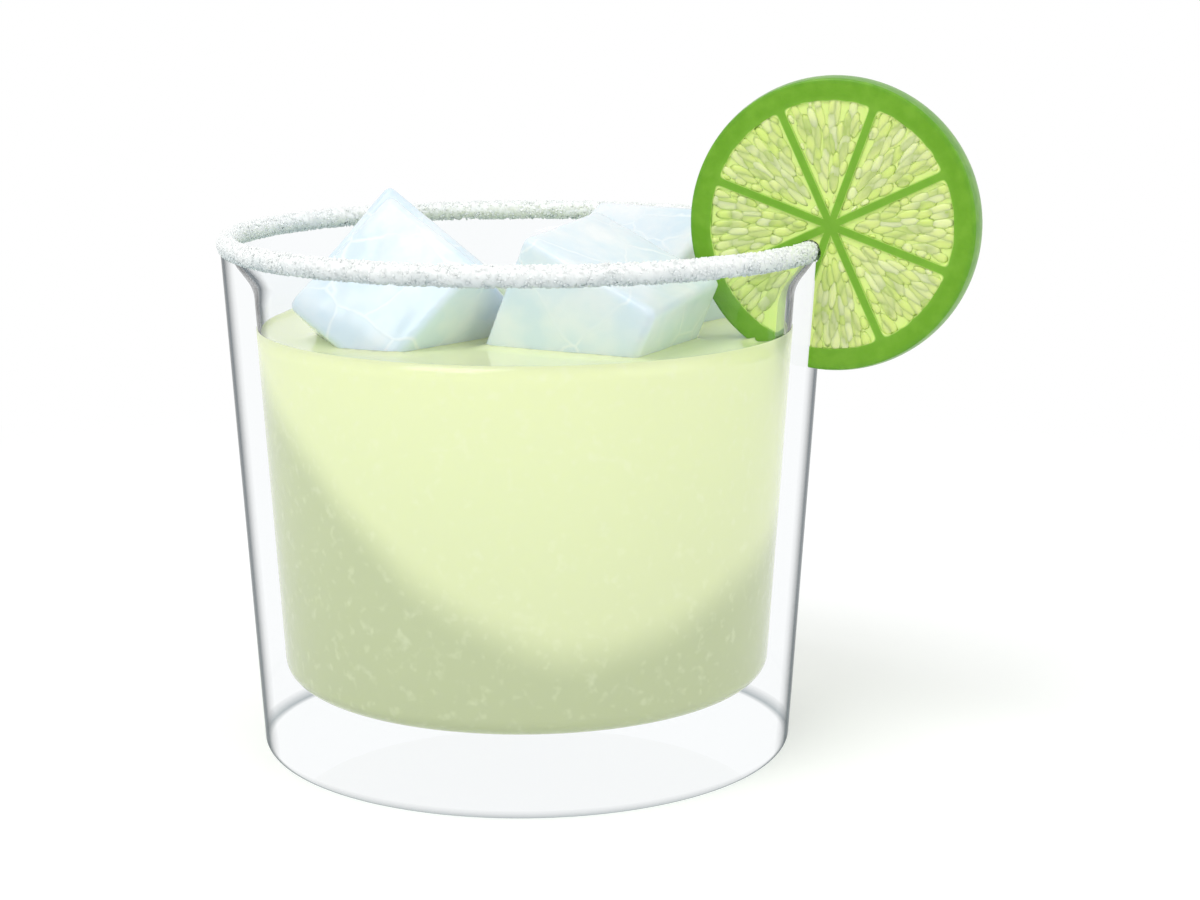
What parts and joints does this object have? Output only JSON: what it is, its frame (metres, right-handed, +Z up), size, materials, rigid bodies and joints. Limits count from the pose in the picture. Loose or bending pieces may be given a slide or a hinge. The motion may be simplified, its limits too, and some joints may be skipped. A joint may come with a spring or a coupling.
{
  "type": "caipirinha",
  "caption": "Pale green lime drink in a thick tapered tumbler, with ice cubes breaking its surface, a sugared rim and a lime wheel slit over the lip",
  "frame": {"origin": "centre of the glass's underside, where it stands", "axes": "+Z up; the lime wheel hangs on the rim towards +X and a little towards -Y"},
  "size_m": [0.11, 0.0912, 0.1014],
  "materials": {
    "glass": "clear polished soda-lime glass",
    "drink": "cloudy pale lime drink",
    "sugar": "white sugar crust",
    "lime": "moist cut lime",
    "ice": "wet ice"
  },
  "bodies": {
    "root": {"glass": "glass", "drink": "drink", "sugar_rim": "sugar", "lime_wheel": "lime", "ice_cube_front_left": "ice", "ice_cube_front_right": "ice", "ice_cube_back_left": "ice", "ice_cube_back_right": "ice"}
  },
  "joints": []
}
